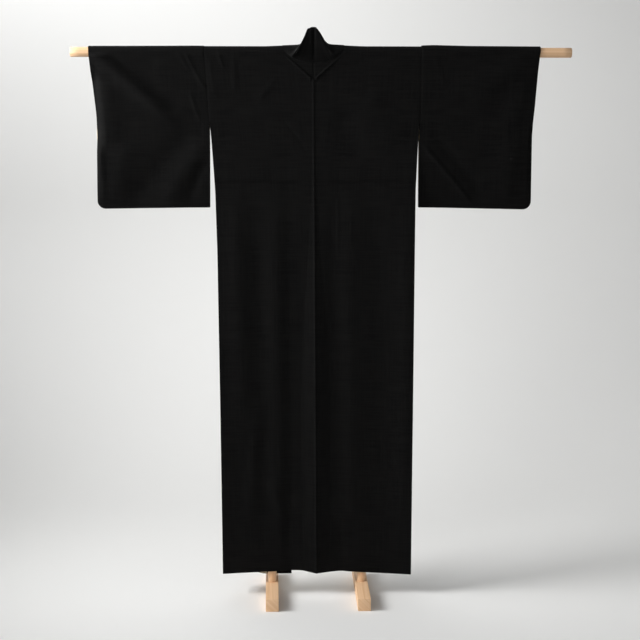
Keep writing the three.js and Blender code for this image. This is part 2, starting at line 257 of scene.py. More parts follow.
SLEEVE_FOLDS = {
    "left": table(FOLD_COLUMNS, [
        (-780, 1787, -430, 1489, 24, 13, 0, 0),
        (-700, 1790, -380, 1510, 40, -4, 0, 0),
        (-650, 1640, -640, 1430, 40, 4.0, 5, 0),
        (-700, 1690, -682, 1400, 16, -18, 0, 0),
        (-676, 1450, -668, 1240, 12, 2.4, 0, 0),
        (-360, 1510, -600, 1225, 36, -5.2, 10, 0),
        (-340, 1450, -490, 1225, 28, 4.2, 10, 0),
        (-352, 1392, -412, 1236, 16, -3.1, 4, 0),
        (-425, 1735, -346, 1585, 5, 2.2, 3, 0.3),
        (-452, 1735, -398, 1650, 5, 1.4, 0, 0.2),
        (-404, 1600, -368, 1498, 5, 1.7, 2, 0.3),
        (-590, 1450, -640, 1236, 36, 4.2, 6, 0),
        (-540, 1690, -400, 1500, 36, 3.1, -8, 0),
    ]),
    "right": table(FOLD_COLUMNS, [
        (290, 1450, 476, 1234, 6, 5.4, -3, 0.7),
        (330, 1476, 510, 1262, 20, -3.8, -3, 0),
        (660, 1725, 450, 1540, 38, 4.0, 8, 0),
        (664, 1710, 560, 1440, 34, 3.2, 8, 0),
        (640, 1650, 380, 1610, 34, 3.2, 6, 0),
        (600, 1480, 560, 1240, 36, 3.8, 4, 0),
        (340, 1722, 380, 1600, 9, 1.0, 3, 0.2),
    ]),
}


# ---- sizes and colours that a user would change ----
COLOUR = {"subtype": "COLOR", "size": 4, "min": 0, "max": 1}
LENGTH = {"subtype": "DISTANCE", "unit": "LENGTH"}
POWER = {"unit": "POWER", "min": 0, "max": 2000}


class KimonoClothSettings(bpy.types.PropertyGroup):
    black: FloatVectorProperty(
        name="Black", description="Ground of the outer cloth",
        default=(0.0025, 0.0025, 0.0027, 1), **COLOUR)
    black_slub: FloatVectorProperty(
        name="Black slub", description="Thicker, duller threads of the outer cloth",
        default=(0.0066, 0.0065, 0.0063, 1), **COLOUR)
    cream: FloatVectorProperty(
        name="Cream", description="Ground of the lining", default=(0.66, 0.58, 0.43, 1), **COLOUR)
    cream_slub: FloatVectorProperty(
        name="Cream slub", description="Darker threads of the lining",
        default=(0.56, 0.48, 0.34, 1), **COLOUR)
    thread: FloatProperty(
        name="Thread", description="Distance between threads", min=0.0002, max=0.003,
        default=0.0006, **LENGTH)
    columns: IntProperty(
        name="Columns", description="Mesh columns across a body length", min=20, max=125, default=122)


class KimonoStandSettings(bpy.types.PropertyGroup):
    pale: FloatVectorProperty(
        name="Pale wood", description="Wood between the grain lines",
        default=(0.86, 0.58, 0.36, 1), **COLOUR)
    grain: FloatVectorProperty(
        name="Grain", description="Wood in the grain lines", default=(0.72, 0.44, 0.24, 1), **COLOUR)
    chamfer: FloatProperty(
        name="Chamfer", description="Broken edge of the rod and feet", min=0.0002, max=0.005,
        default=0.0015, **LENGTH)


class KimonoStageSettings(bpy.types.PropertyGroup):
    paper: FloatVectorProperty(
        name="Paper", description="Floor and backdrop", default=(0.80, 0.80, 0.79, 1), **COLOUR)
    key_power: FloatProperty(
        name="Window light", description="Power of the raking light on the left", default=35, **POWER)
    fill_power: FloatProperty(
        name="Fill light", description="Power of the light in front on the left", default=8, **POWER)
    wall_power: FloatProperty(
        name="Wall light", description="Power of the light on the backdrop", default=54, **POWER)
    daylight: FloatProperty(
        name="Daylight", description="Strength of the even light of the room", min=0, max=4,
        default=0.32)
    lens: FloatProperty(
        name="Lens", description="Focal length on a 36 mm sensor", unit="CAMERA",
        min=20, max=200, default=87.887)


# ---- node groups and materials ----
def add_node(tree, kind, **values):
    """A node, with settings such as its operation given by name."""
    node = tree.nodes.new(kind)
    for key, value in values.items():
        setattr(node, key, value)
    return node


def node_of(tree, kind):
    return next(node for node in tree.nodes if node.type == kind)


def link_all(tree, sources, sockets):
    for source, socket in zip(sources, sockets):
        tree.links.new(source, socket)


def mix_shaders(tree, factor, first, second, output):
    """The first shader where the factor is 0 and the second where it is 1, as the surface."""
    either = add_node(tree, "ShaderNodeMixShader")
    link_all(tree, (factor, first, second), either.inputs)
    tree.links.new(either.outputs[0], output.inputs["Surface"])


def math_node(tree, operation, *values, clamp=False):
    """A Math node on sockets or plain numbers, as its output socket."""
    node = add_node(tree, "ShaderNodeMath", operation=operation, use_clamp=clamp)
    for socket, value in zip(node.inputs, values):
        if isinstance(value, bpy.types.NodeSocket):
            tree.links.new(value, socket)
        else:
            socket.default_value = value
    return node.outputs[0]


def new_group(name, inputs):
    """A shader node group that gives a surface's colour, roughness and height from typed, named
    sockets, and its two end nodes."""
    tree = bpy.data.node_groups.new(name, "ShaderNodeTree")
    for socket_name, kind, default in inputs:
        socket = tree.interface.new_socket(socket_name, in_out="INPUT", socket_type=kind)
        socket.default_value = default
    for socket_name, kind in (("Color", "NodeSocketColor"), ("Roughness", "NodeSocketFloat"),
                              ("Height", "NodeSocketFloat")):
        tree.interface.new_socket(socket_name, in_out="OUTPUT", socket_type=kind)
    return tree, tree.nodes.new("NodeGroupInput"), tree.nodes.new("NodeGroupOutput")


def stretched_noise(tree, across, along, offset, detail=2.0):
    """Noise on the cloth's or wood's own metres, drawn out along one way."""
    place = add_node(tree, "ShaderNodeUVMap", uv_map="Metres")
    stretch = add_node(tree, "ShaderNodeMapping")
    stretch.inputs["Location"].default_value = (offset, offset * 0.7, 0)
    stretch.inputs["Scale"].default_value = (across, along, 1)
    noise = add_node(tree, "ShaderNodeTexNoise", noise_dimensions="2D")
    noise.inputs["Scale"].default_value = 1.0
    noise.inputs["Detail"].default_value = detail
    tree.links.new(place.outputs["UV"], stretch.inputs["Vector"])
    tree.links.new(stretch.outputs["Vector"], noise.inputs["Vector"])
    return noise.outputs["Fac"]


def colour_mix(tree, factor, first, second):
    node = add_node(tree, "ShaderNodeMix", data_type="RGBA")
    link_all(tree, (factor, first, second), (node.inputs["Factor"], node.inputs[6], node.inputs[7]))
    return node.outputs[2]


def weave_group():
    """Plain weave of uneven hand-spun thread: thick slubs run along the weft and, fewer, the warp."""
    tree, given, result = new_group(
        "Slubby plain weave",
        [("Ground", "NodeSocketColor", (0, 0, 0, 1)), ("Slub", "NodeSocketColor", (0, 0, 0, 1)),
         ("Thread", "NodeSocketFloat", 0.0006), ("Slub Amount", "NodeSocketFloat", 1.0)])
    weft = stretched_noise(tree, 11, 340, 3.1, detail=3.5)
    warp = stretched_noise(tree, 420, 7, 7.7, detail=3.0)
    cloudy = stretched_noise(tree, 9, 9, 1.3)
    streak = math_node(tree, "MULTIPLY_ADD", weft, 3.4, -1.35)
    fine = math_node(tree, "MULTIPLY_ADD", warp, 2.6, -1.2)
    both = math_node(tree, "ADD", streak, fine, clamp=True)
    clouds = math_node(tree, "MULTIPLY_ADD", cloudy, 0.25, 0.2)
    slubs = math_node(tree, "MULTIPLY", math_node(tree, "ADD", both, clouds, clamp=True),
                      given.outputs["Slub Amount"], clamp=True)
    colour = colour_mix(tree, slubs, given.outputs["Ground"], given.outputs["Slub"])
    rough = math_node(tree, "MULTIPLY_ADD", slubs, 0.12, 0.8)
    place = add_node(tree, "ShaderNodeUVMap", uv_map="Metres")
    split = add_node(tree, "ShaderNodeSeparateXYZ")
    tree.links.new(place.outputs["UV"], split.inputs[0])
    turns = math_node(tree, "DIVIDE", math.pi, given.outputs["Thread"])
    ribs = [math_node(tree, "SINE", math_node(tree, "MULTIPLY", split.outputs[axis], turns))
            for axis in (0, 1)]
    crossing = math_node(tree, "MULTIPLY", ribs[0], ribs[1])
    height = math_node(tree, "MULTIPLY_ADD", slubs, 1.6, crossing)
    link_all(tree, (colour, rough, height), result.inputs)
    return tree


def grain_group():
    """Straight grain of a pale softwood."""
    tree, given, result = new_group(
        "Straight grain",
        [("Pale", "NodeSocketColor", (0, 0, 0, 1)), ("Grain", "NodeSocketColor", (0, 0, 0, 1))])
    lines = stretched_noise(tree, 190, 2.2, 2.3, detail=3)
    pores = stretched_noise(tree, 1500, 40, 5.9)
    blotch = stretched_noise(tree, 20, 5, 8.1)
    rings = math_node(tree, "MULTIPLY_ADD", lines, 2.4, -0.8, clamp=True)
    mottled = math_node(tree, "MULTIPLY", rings, math_node(tree, "ADD", blotch, 0.45, clamp=True))
    worn = math_node(tree, "MULTIPLY_ADD", pores, 0.25, mottled)
    colour = colour_mix(tree, worn, given.outputs["Pale"], given.outputs["Grain"])
    rough = math_node(tree, "MULTIPLY_ADD", pores, 0.2, 0.42)
    link_all(tree, (colour, rough, worn), result.inputs)
    return tree


def grouped_material(name, group, build, values, bump_depth, **shader_values):
    """A material whose colour, roughness and bump come from a node group placed in it. Material
    and group are made once, the group by `build`."""
    if name in bpy.data.materials:
        return bpy.data.materials[name]
    material = bpy.data.materials.new(name)
    material.use_nodes = True
    tree = material.node_tree
    shader = node_of(tree, "BSDF_PRINCIPLED")
    effect = add_node(tree, "ShaderNodeGroup", node_tree=bpy.data.node_groups.get(group) or build())
    for socket, value in values.items():
        effect.inputs[socket].default_value = value
    bump = add_node(tree, "ShaderNodeBump")
    bump.inputs["Strength"].default_value = 1.0
    bump.inputs["Distance"].default_value = bump_depth
    tree.links.new(effect.outputs["Color"], shader.inputs["Base Color"])
    tree.links.new(effect.outputs["Roughness"], shader.inputs["Roughness"])
    tree.links.new(effect.outputs["Height"], bump.inputs["Height"])
    tree.links.new(bump.outputs["Normal"], shader.inputs["Normal"])
    for socket, value in shader_values.items():
        shader.inputs[socket.replace("_", " ")].default_value = value
    return material


def black_tsumugi(context):
    cloth = context.scene.kimono_cloth
    return grouped_material(
        "Black tsumugi", "Slubby plain weave", weave_group,
        {"Ground": cloth.black, "Slub": cloth.black_slub, "Thread": cloth.thread,
         "Slub Amount": 1.0},
        0.00008, Specular_IOR_Level=0.04, Sheen_Weight=0.03, Sheen_Roughness=0.35)


def cream_lining(context):
    cloth = context.scene.kimono_cloth
    return grouped_material(
        "Cream lining", "Slubby plain weave", weave_group,
        {"Ground": cloth.cream, "Slub": cloth.cream_slub, "Thread": cloth.thread / 2,
         "Slub Amount": 0.35},
        0.00003, Specular_IOR_Level=0.3, Sheen_Weight=0.15, Sheen_Roughness=0.35)


def stand_wood(context):
    stand = context.scene.kimono_stand
    return grouped_material(
        "Stand wood", "Straight grain", grain_group, {"Pale": stand.pale, "Grain": stand.grain},
        0.0001, Specular_IOR_Level=0.4)


# ---- meshes ----
def new_object(name, data):
    thing = bpy.data.objects.new(name, data)
    bpy.context.scene.collection.objects.link(thing)
    return thing


def piece_from(name, points, quads, uv, materials, material_index=None):
    """A smooth mesh piece from millimetre points and quads that face out."""
    corners = points[quads]
    first = np.einsum("ij,ij->i", corners[:, 0], np.cross(corners[:, 1], corners[:, 2]))
    second = np.einsum("ij,ij->i", corners[:, 0], np.cross(corners[:, 2], corners[:, 3]))
    if (first + second).sum() < 0:
        quads = quads[:, ::-1]
    mesh = bpy.data.meshes.new(name)
    mesh.from_pydata((points * MM).tolist(), [], quads.tolist())
    layer = mesh.uv_layers.new(name="Metres")
    layer.data.foreach_set("uv", (uv[quads.ravel()] * MM).ravel())
    for material in materials:
        mesh.materials.append(material)
    if material_index is not None:
        mesh.polygons.foreach_set("material_index", material_index.astype(np.int32))
    mesh.shade_smooth()
    mesh.set_sharp_from_angle(angle=math.radians(55))
    mesh.update()
    piece = new_object(name, mesh)
    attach(piece, "root")
    return piece


def grid_normals(points, out):
    """Unit normals of a grid of points, on the side of `out`, which has one direction for a row."""
    across = np.gradient(points, axis=1)
    along = np.gradient(points, axis=0)
    normal = np.cross(across, along)
    normal /= np.linalg.norm(normal, axis=2, keepdims=True) + 1e-12
    facing = np.sign((normal * out[:, None, :]).sum(2).mean(1))
    return normal * facing[:, None, None]


def boundary(rows, columns):
    """Row and column of each grid point round the edge, in order."""
    top = [(0, c) for c in range(columns - 1)]
    right = [(r, columns - 1) for r in range(rows - 1)]
    bottom = [(rows - 1, c) for c in range(columns - 1, 0, -1)]
    left = [(r, 0) for r in range(rows - 1, 0, -1)]
    return np.array(top + right + bottom + left).T


def shell(name, points, out, inner, outer, uv, materials, lined_from=None):
    """A closed cloth wall on a grid of points, from `inner` to `outer` along its normals, with a
    rounded edge. Where the walls have two materials, the inner face has the second from a
    distance of `lined_from` columns and rows inside the edge."""
    normal = grid_normals(points, out)
    rows, columns = points.shape[:2]
    count = rows * columns
    ids = np.arange(count).reshape(rows, columns)
    face = np.stack([ids[:-1, :-1], ids[:-1, 1:], ids[1:, 1:], ids[1:, :-1]], axis=2).reshape(-1, 4)
    ring_row, ring_column = boundary(rows, columns)
    ring = ids[ring_row, ring_column]
    onward = np.roll(ring, -1)
    edge = 2 * count + np.arange(len(ring))
    edge_on = np.roll(edge, -1)
    inside = points[np.clip(ring_row, 1, rows - 2), np.clip(ring_column, 1, columns - 2)]
    away = points[ring_row, ring_column] - inside
    away /= np.linalg.norm(away, axis=1, keepdims=True) + 1e-12
    walls = [(points + normal * reach).reshape(-1, 3) for reach in (outer, inner)]
    bulge = 0.35 * (outer - inner)
    middle = (walls[0][ring] + walls[1][ring]) / 2 + away * bulge
    quads = np.concatenate([
        face[:, ::-1],
        face + count,
        np.stack([ring, onward, edge_on, edge], axis=1),
        np.stack([edge, edge_on, onward + count, ring + count], axis=1),
    ])
    flat_uv = uv.reshape(-1, 2)
    slots = np.zeros(len(quads))
    if lined_from is not None:
        lined = np.zeros((rows - 1, columns - 1))
        row_set, column_set = lined_from
        lined[row_set:rows - 1 - row_set, column_set:columns - 1 - column_set] = 1
        slots[len(face):2 * len(face)] = lined.ravel()
    return piece_from(name, np.concatenate([*walls, middle]), quads,
                      np.concatenate([flat_uv, flat_uv, flat_uv[ring]]), materials, slots)


# ---- forms ----
def body_edge(edge, z, blur=0.0):
    return read(BODY_EDGES, "z", edge, z, blur)


def over_rod(s):
    """The section over the rod. s is the length along the cloth, 0 on top, negative at the back."""
    angle = np.clip(s / BEND, -math.pi / 2, math.pi / 2)
    below = np.maximum(0, np.abs(s) - QUARTER)
    return BEND * np.sin(angle), ROD_HEIGHT + BEND * np.cos(angle) - below, angle, below


def out_of_rod(s):
    """The way out of the cloth over the rod."""
    angle = over_rod(s)[2]
    return stacked(0, np.sin(angle), np.cos(angle))


def folds(rows, x, z):
    """How far the folds of a table stand out at x, z."""
    total = np.zeros(np.broadcast(x, z).shape)
    for x0, z0, x1, z1, width, height, bow, edge in zip(*rows.values()):
        dx, dz = x1 - x0, z1 - z0
        length = math.hypot(dx, dz)
        along = clamp01(((x - x0) * dx + (z - z0) * dz) / length ** 2)
        aside = ((x - x0) * dz - (z - z0) * dx) / length - bow * 4 * along * (1 - along)
        beyond = np.hypot(x - x0 - along * dx, z - z0 - along * dz)
        away = np.maximum(np.abs(aside), beyond * 0.5) / width
        profile = (1 - edge) * np.exp(-away ** 2) + edge * np.exp(-away)
        total += height * profile * ease(along * 4) * ease((1 - along) * 4)
    return total


def ripple(x, z):
    """Faint unevenness of hung cloth."""
    slow = np.sin(x / 41 + 1.7 * np.sin(z / 173)) * np.sin(z / 97 + 0.8 * np.sin(x / 71))
    fast = np.sin(x / 17 + 2.1 * np.sin(z / 61)) * np.sin(z / 39 + x / 90)
    return 0.45 * slow + 0.12 * fast


def seam_dip(distance):
    return -SEAM_DIP["depth"] * np.exp(-(distance / SEAM_DIP["width"]) ** 2)


def below_rod(z, length):
    """0 beside the rod's middle, and 1 from a length below it."""
    return ease((ROD_HEIGHT - z) / length)


def clear_of_troughs(detail, z, start):
    """Folds without their troughs near the rod, where the cloth lies on it."""
    return lerp(detail, np.maximum(detail, 0), ease((z - ROD_HEIGHT + start) / 70))


def quarter_round(t):
    """The fall of a quarter circle, from 1 at t = 0 to 0 at t = 1."""
    return 1 - np.sqrt(1 - (1 - t) ** 2)


def back_relief(x, z):
    """How far the back stands out from a plumb wall."""
    left, centre, right = (body_edge(edge, z, 40) for edge in ("left", "centre", "right"))
    side = np.where(x < centre, left, right)
    across = np.abs(x - centre)
    share = clamp01(across / np.abs(side - centre))
    down = ease((V_POINT - z) / (V_POINT - FULL_RELIEF))
    above_v = clamp01((z - V_POINT) / (ROD_HEIGHT + BEND - V_POINT))
    crease = across - CREASE_HALF * above_v
    pressed = lerp(SEAM_PRESS, CREASE_PRESS, above_v > 0)
    pressed = pressed * np.maximum(0, 1 - np.abs(crease) / CREASE_WIDTH)
    ridge_width = lerp(*RIDGE_WIDTH, down ** 2)
    ridge = CENTRE_RIDGE * down ** 2 * np.maximum(0, 1 - across / ridge_width) ** 1.3
    from_hollow = (across - CENTRE_HOLLOW["at"]) / CENTRE_HOLLOW["width"]
    hollow = CENTRE_HOLLOW["depth"] * down * np.exp(-from_hollow ** 2)
    side_rise = SIDE_RISE * down * share ** 4
    neck_seam = NECK_SEAM["depth"] * (above_v > 0) * np.exp(-(across / NECK_SEAM["width"]) ** 2)
    relief = below_rod(z, 50) * (pressed + ridge - hollow + side_rise - neck_seam)
    tuck = TUCK_STEP * ease((z - TUCK + 1) / 2) * np.exp(-np.maximum(0, z - TUCK) / 40)
    detail = folds(BACK_FOLDS, x, z) + ripple(x, z) + tuck
    return relief + clear_of_troughs(detail, z, 90)


def front_fold(f, s):
    """How far a front stands out in its hanging folds, which leave the okumi seam where it is."""
    grown = ease((np.abs(s) - QUARTER - OKUMI_POINT) / (OKUMI_FULL - OKUMI_POINT))
    seam = okumi_seam(s)
    past = np.maximum(1 - seam, 1e-9)
    waves = np.where(f <= seam + 1e-9, BODY_FOLDS * f / seam, OKUMI_FOLDS * (f - seam) / past)
    return FOLD_DEPTH * grown * (1 - np.cos(2 * math.pi * waves)) / 2


def okumi_seam(s):
    """Where the okumi is sewn on, as a share of the front's width."""
    below = np.abs(s) - QUARTER
    okumi = OKUMI_WIDTH * clamp01((below - OKUMI_POINT) / (OKUMI_FULL - OKUMI_POINT))
    return np.where((s > 0) & (below > OKUMI_POINT), FRONT_WIDTH / (FRONT_WIDTH + okumi), 1.0)


def body_form(side, f, s):
    """A body length with its okumi as one surface: at the back f runs from the side edge to the
    centre seam or neck, and at the front to the collar seam."""
    sign = SIDES[side]
    f, s = np.broadcast_arrays(f, s)
    y, z, angle, _ = over_rod(s)
    side_x = body_edge(side, z, 12)
    centre = body_edge("centre", z, 25)
    opening = NECK_HALF * np.sqrt(clamp01(1 - (s / NECK_DROP) ** 2)) * (s > -NECK_DROP)
    back_x = centre + sign * lerp(np.abs(side_x - centre), opening, f)
    sleeve_seam = np.where(z > SLEEVE_SEAM_END - 4, np.abs(back_x - side_x), np.inf)
    back_y = y - (back_relief(back_x, z) + seam_dip(sleeve_seam)) * below_rod(z, 12)
    hem_share = clamp01((V_POINT - z) / (V_POINT - HEM_MIDDLE)) ** 2
    back_z = z + (read(BACK_HEM, "x", "z", back_x, 12) - HEM_MIDDLE) * hem_share

    front_x = lerp(side_x, body_edge(f"front_{side}", z, 25), f)
    detail = (folds(FRONT_FOLDS, front_x, z) + ripple(front_x + 400, z)) * below_rod(z, 30)
    sewn = ease((SIDE_SEAM_TOP + 30 - z) / 30)
    wedge = (1 - ease(np.abs(front_x - side_x) / FRONT_DRAW)) * sewn
    seam_y = -BEND - back_relief(side_x, z) + CLOTH + GAP
    front_y = lerp(y + front_fold(f, s) + detail, seam_y, wedge)

    hem_rise = FRONT_HEM_SLOPE * (BEND + FOLD_DEPTH - front_y)
    front_z = z + (hem_rise - read(CORNER_DROP, "x", "down", front_x)) * hem_share

    is_back = s <= 0
    x = np.where(is_back, back_x, front_x)
    lift = read(BODY_LIFT, "x", "up", x, 15) * np.cos(angle)
    y, z = np.where(is_back, [back_y, back_z], [front_y, front_z])
    return stacked(x, y, z + lift)


def body_width(side, s):
    return np.abs(body_form(side, 1.0, s)[..., 0] - body_form(side, 0.0, s)[..., 0])


def sleeve_form(side, u, s):
    """A folded sleeve: u runs from the body seam to the wrist, and s over the rod as on the body."""
    sign = SIDES[side]
    u, s = np.broadcast_arrays(u, s)
    y, z, angle, below = over_rod(s)
    at_seam, at_wrist = SLEEVE_HEM[side]
    bottom = (at_seam + at_wrist) / 2
    inner = read(SLEEVE_EDGES, "z", f"inner_{side}", z, 15)
    wrist = read(SLEEVE_EDGES, "z", side, z, 15)
    rounding = SLEEVE_CORNER * quarter_round(clamp01((z - bottom) / SLEEVE_CORNER))
    x = lerp(inner, wrist - sign * rounding, u)
    shut = clamp01((SLEEVE_SEAM_END - z) / (SLEEVE_SEAM_END - bottom))
    sewn_edge = ease((SLEEVE_SEAM_END - z) / 60) * quarter_round(clamp01((1 - u) / WRIST_ROUND))
    open_share = (1 - shut ** 2) * (1 - sewn_edge)
    half_gap = np.where(below > 0, lerp(LINING_DEPTH + GAP / 2, np.abs(y), open_share), np.abs(y))
    seam = np.where(z > SLEEVE_SEAM_END, np.abs(x - inner), np.inf)
    fold = folds(SLEEVE_FOLDS[side], x, z) + ripple(x + 200, z)
    clear = clear_of_troughs(fold, z, 100) * below_rod(z, 12)
    # both walls bend together where they lie close, and apart from each other at the top
    is_back = s <= 0
    own = clear + seam_dip(seam) * (below > 0)
    follow = lerp(-fold, 0.6 * clear, open_share)
    y_new = np.where(is_back, -half_gap - own, half_gap + follow)
    lift = read(SLEEVE_LIFT[side], "x", "up", x, 15) * np.cos(angle)
    hem_share = clamp01((SLEEVE_SEAM_END - z) / (SLEEVE_SEAM_END - bottom))
    z_new = z + (lerp(at_seam, at_wrist, u) - bottom) * hem_share + lift
    return stacked(x, y_new, z_new)


def collar_form(side, t, s):
    """Half of the collar: t runs from the neck edge to the free edge, and s along the seam."""
    t, s = np.broadcast_arrays(t, s)
    foot = body_form(side, np.ones_like(s), s)
    inwards = -SIDES[side]
    out = out_of_rod(s)
    along = out[..., [0, 2, 1]] * (1, 1, -1)
    turn = np.arcsin(clamp01(-s / NECK_DROP))
    row = {name: read(COLLAR_ROWS[side], "s", name, s, 2) for name in COLLAR_COLUMNS.split()[1:]}
    foot[..., 0] += inwards * (COLLAR_GAP * np.cos(turn) + row["inward"] * t)
    aside = np.abs(foot[..., 0] - body_edge("centre", over_rod(s)[1]))
    valley = COLLAR_VALLEY["depth"] * np.maximum(0, 1 - aside / COLLAR_VALLEY["half"]) * ease(2.2 * t)
    rise = row["out"] * t ** row["curl"] + row["bulge"] * 4 * t * (1 - t) - valley
    rim = COLLAR_RIM["height"][side] * np.exp(-np.abs(s - COLLAR_RIM["at"]) / COLLAR_RIM["width"])
    rise += rim * ease(0.3 + 2 * t) * lerp(1, 0.4, t)
    up = COLLAR_GAP * np.sin(turn) + row["along"] * t ** row["curl"]
    return clear_of_rod(foot + along * up[..., None] + out * rise[..., None])


def clear_of_rod(points):
    """Points of the collar pushed out of the rod, where they would lie in it."""
    axis = np.array([0, 0, ROD_HEIGHT])
    away = (points - axis) * (0, 1, 1)
    distance = np.linalg.norm(away, axis=-1, keepdims=True) + 1e-9
    least = ROD_RADIUS + COLLAR_CLEARANCE + COLLAR_WALL / 2
    return points + away / distance * np.maximum(0, least - distance)


# ---- rows of the grids ----
def spread(*stops):
    """Positions from stop to stop: (start, step), (start, step), ..., (end,)."""
    parts = []
    for (start, step), (end, *_) in zip(stops, stops[1:]):
        count = max(1, round(abs(end - start) / step))
        parts.append(np.linspace(start, end, count, endpoint=False))
    return np.append(np.concatenate(parts), stops[-1][0])


def depth(z):
    """Length along the cloth from the top of the rod to a height below it."""
    return QUARTER + ROD_HEIGHT - z


def neck_rows(count):
    """Down to up beside the back of the neck opening, closer at its bottom."""
    return -NECK_DROP * np.cos(np.linspace(0, math.pi / 2, count))[:-1]


def back_rows():
    """Down to up, at the back: closer at the tuck and below the neck, where the cloth is creased."""
    hanging = spread(
        (-depth(HEM_MIDDLE), 2), (-depth(HEM_MIDDLE + 8), 9), (-depth(TUCK + 6), 1.5),
        (-depth(TUCK - 6), 8), (-depth(V_POINT + 8), 2.6), (-NECK_DROP,))
    return np.concatenate([hanging[:-1], neck_rows(34), [0.0]])


def front_rows(side):
    hem = FRONT_HEM[side]
    return spread((0, 4), (QUARTER, 12), (depth(hem + 8), 2), (depth(hem),))


def body_grid(side, columns, setback=0.0):
    """Points, ways out and lengths of a body length, its edges set back by `setback` and its hems
    by three times as much."""
    s = np.concatenate([back_rows()[:-1], front_rows(side)])
    s[0] += 3 * setback
    s[-1] -= 3 * setback
    s = s[:, None]
    z = over_rod(s)[1]
    width = body_width(side, s)
    in_slit = ease((SLEEVE_SEAM_END - z) / 120)
    start = setback * lerp(*SLIT_SETBACK, in_slit) / width
    at_neck = (np.abs(s) < NECK_DROP + 3) * (s < 1.5 * QUARTER)
    end = okumi_seam(s) - (GAP / 2 + setback * at_neck) / width
    f = start + (end - start) * (1 - (1 - np.linspace(0, 1, columns)) ** 1.3)
    points = body_form(side, f, s)
    return points, out_of_rod(s[:, 0]), stacked(f * width, s)


# ---- operators, one for each piece or group of like pieces ----
class KIMONO_OT_stage(bpy.types.Operator):
    """Lay the pale floor and backdrop, and set the lights and the camera"""
    bl_idname = "kimono.stage"
    bl_label = "Stage"
    CAMERA_PLACE = (-0.1563, -4.8173, 1.6557)
    PITCH, YAW, ROLL = math.radians(9.0627), math.radians(1.8), math.radians(0.0943)
    FLOOR_FRONT, WALL, COVE, TOP, HALF_WIDTH = -7.0, 2.1, 1.1, 5.5, 7.0
    # name, setting of its power, place, target, size and spread in degrees
    LIGHTS = (
        ("Window light", "key_power", (-2.5, -0.5, 2.25), (-0.4, 0.0, 1.4), 1.6, 85),
        ("Fill light", "fill_power", (-2.5, -3.5, 3.0), (-0.3, 0.0, 1.4), 2.4, 70),
        ("Wall light", "wall_power", (-1.5, 0.3, 4.9), (-1.2, 2.1, 3.4), 2.0, 80),
    )

    def execute(self, context):
        settings = context.scene.kimono_stage
        self.backdrop(settings)
        for name, key, *aim in self.LIGHTS:
            self.light(name, getattr(settings, key), *aim)
        self.room(context, settings)
        context.scene.view_settings.view_transform = "Standard"
        self.camera(context, settings)
        return {"FINISHED"}

    def backdrop(self, settings):
        turn = np.linspace(0, math.pi / 2, 24)
        profile = [(self.FLOOR_FRONT, 0.0)]
        profile += [(self.WALL - self.COVE + self.COVE * math.sin(a), self.COVE * (1 - math.cos(a)))
                    for a in turn]
        profile.append((self.WALL, self.TOP))
        mesh = bpy.data.meshes.new("Backdrop")
        points = [(x, y, z) for y, z in profile for x in (-self.HALF_WIDTH, self.HALF_WIDTH)]
        faces = [(2 * k, 2 * k + 1, 2 * k + 3, 2 * k + 2) for k in range(len(profile) - 1)]
        mesh.from_pydata(points, [], faces)
        mesh.shade_smooth()
        mesh.materials.append(self.paper(settings))
        new_object("Backdrop", mesh)

    def paper(self, settings):
        """Matte paper, clear from behind, so that the backdrop hides nothing from any side."""
        material = bpy.data.materials.new("Paper")
        material.use_nodes = True
        tree = material.node_tree
        shader = node_of(tree, "BSDF_PRINCIPLED")
        shader.inputs["Base Color"].default_value = settings.paper
        shader.inputs["Roughness"].default_value = 1.0
        shader.inputs["Specular IOR Level"].default_value = 0.0
        sides = add_node(tree, "ShaderNodeNewGeometry")
        clear = add_node(tree, "ShaderNodeBsdfTransparent")
        mix_shaders(tree, sides.outputs["Backfacing"], shader.outputs[0], clear.outputs[0],
                    node_of(tree, "OUTPUT_MATERIAL"))
        return material

    def room(self, context, settings):
        """Even light from all round, and a plain pale tone where nothing stands."""
        world = bpy.data.worlds.new("Room")
        world.use_nodes = True
        tree = world.node_tree
        daylight = node_of(tree, "BACKGROUND")
        daylight.inputs["Color"].default_value = (1.0, 1.0, 1.0, 1)
        daylight.inputs["Strength"].default_value = settings.daylight
        seen = add_node(tree, "ShaderNodeBackground")
        seen.inputs["Color"].default_value = (0.70, 0.70, 0.69, 1)
        path = add_node(tree, "ShaderNodeLightPath")
        mix_shaders(tree, path.outputs["Is Camera Ray"], daylight.outputs[0], seen.outputs[0],
                    node_of(tree, "OUTPUT_WORLD"))
        context.scene.world = world

    def light(self, name, power, place, target, size, spread):
        data = bpy.data.lights.new(name, "AREA")
        data.shape, data.size, data.energy = "DISK", size, power
        data.spread = math.radians(spread)
        lamp = new_object(name, data)
        lamp.location = place
        lamp.visible_camera = False
        lamp.rotation_euler = (Vector(target) - Vector(place)).to_track_quat("-Z", "Y").to_euler()

    def camera(self, context, settings):
        forward = Vector((math.sin(self.YAW) * math.cos(self.PITCH),
                          math.cos(self.YAW) * math.cos(self.PITCH), -math.sin(self.PITCH)))
        level = Vector((math.cos(self.YAW), -math.sin(self.YAW), 0))
        above = level.cross(forward)
        right = level * math.cos(self.ROLL) + above * math.sin(self.ROLL)
        up = above * math.cos(self.ROLL) - level * math.sin(self.ROLL)
        turn = Matrix((right, up, -forward)).transposed()
        data = bpy.data.cameras.new("Camera")
        data.lens, data.sensor_width = settings.lens, 36
        data.clip_end = 60
        camera = new_object("Camera", data)
        camera.matrix_world = Matrix.Translation(self.CAMERA_PLACE) @ turn.to_4x4()
        context.scene.camera = camera


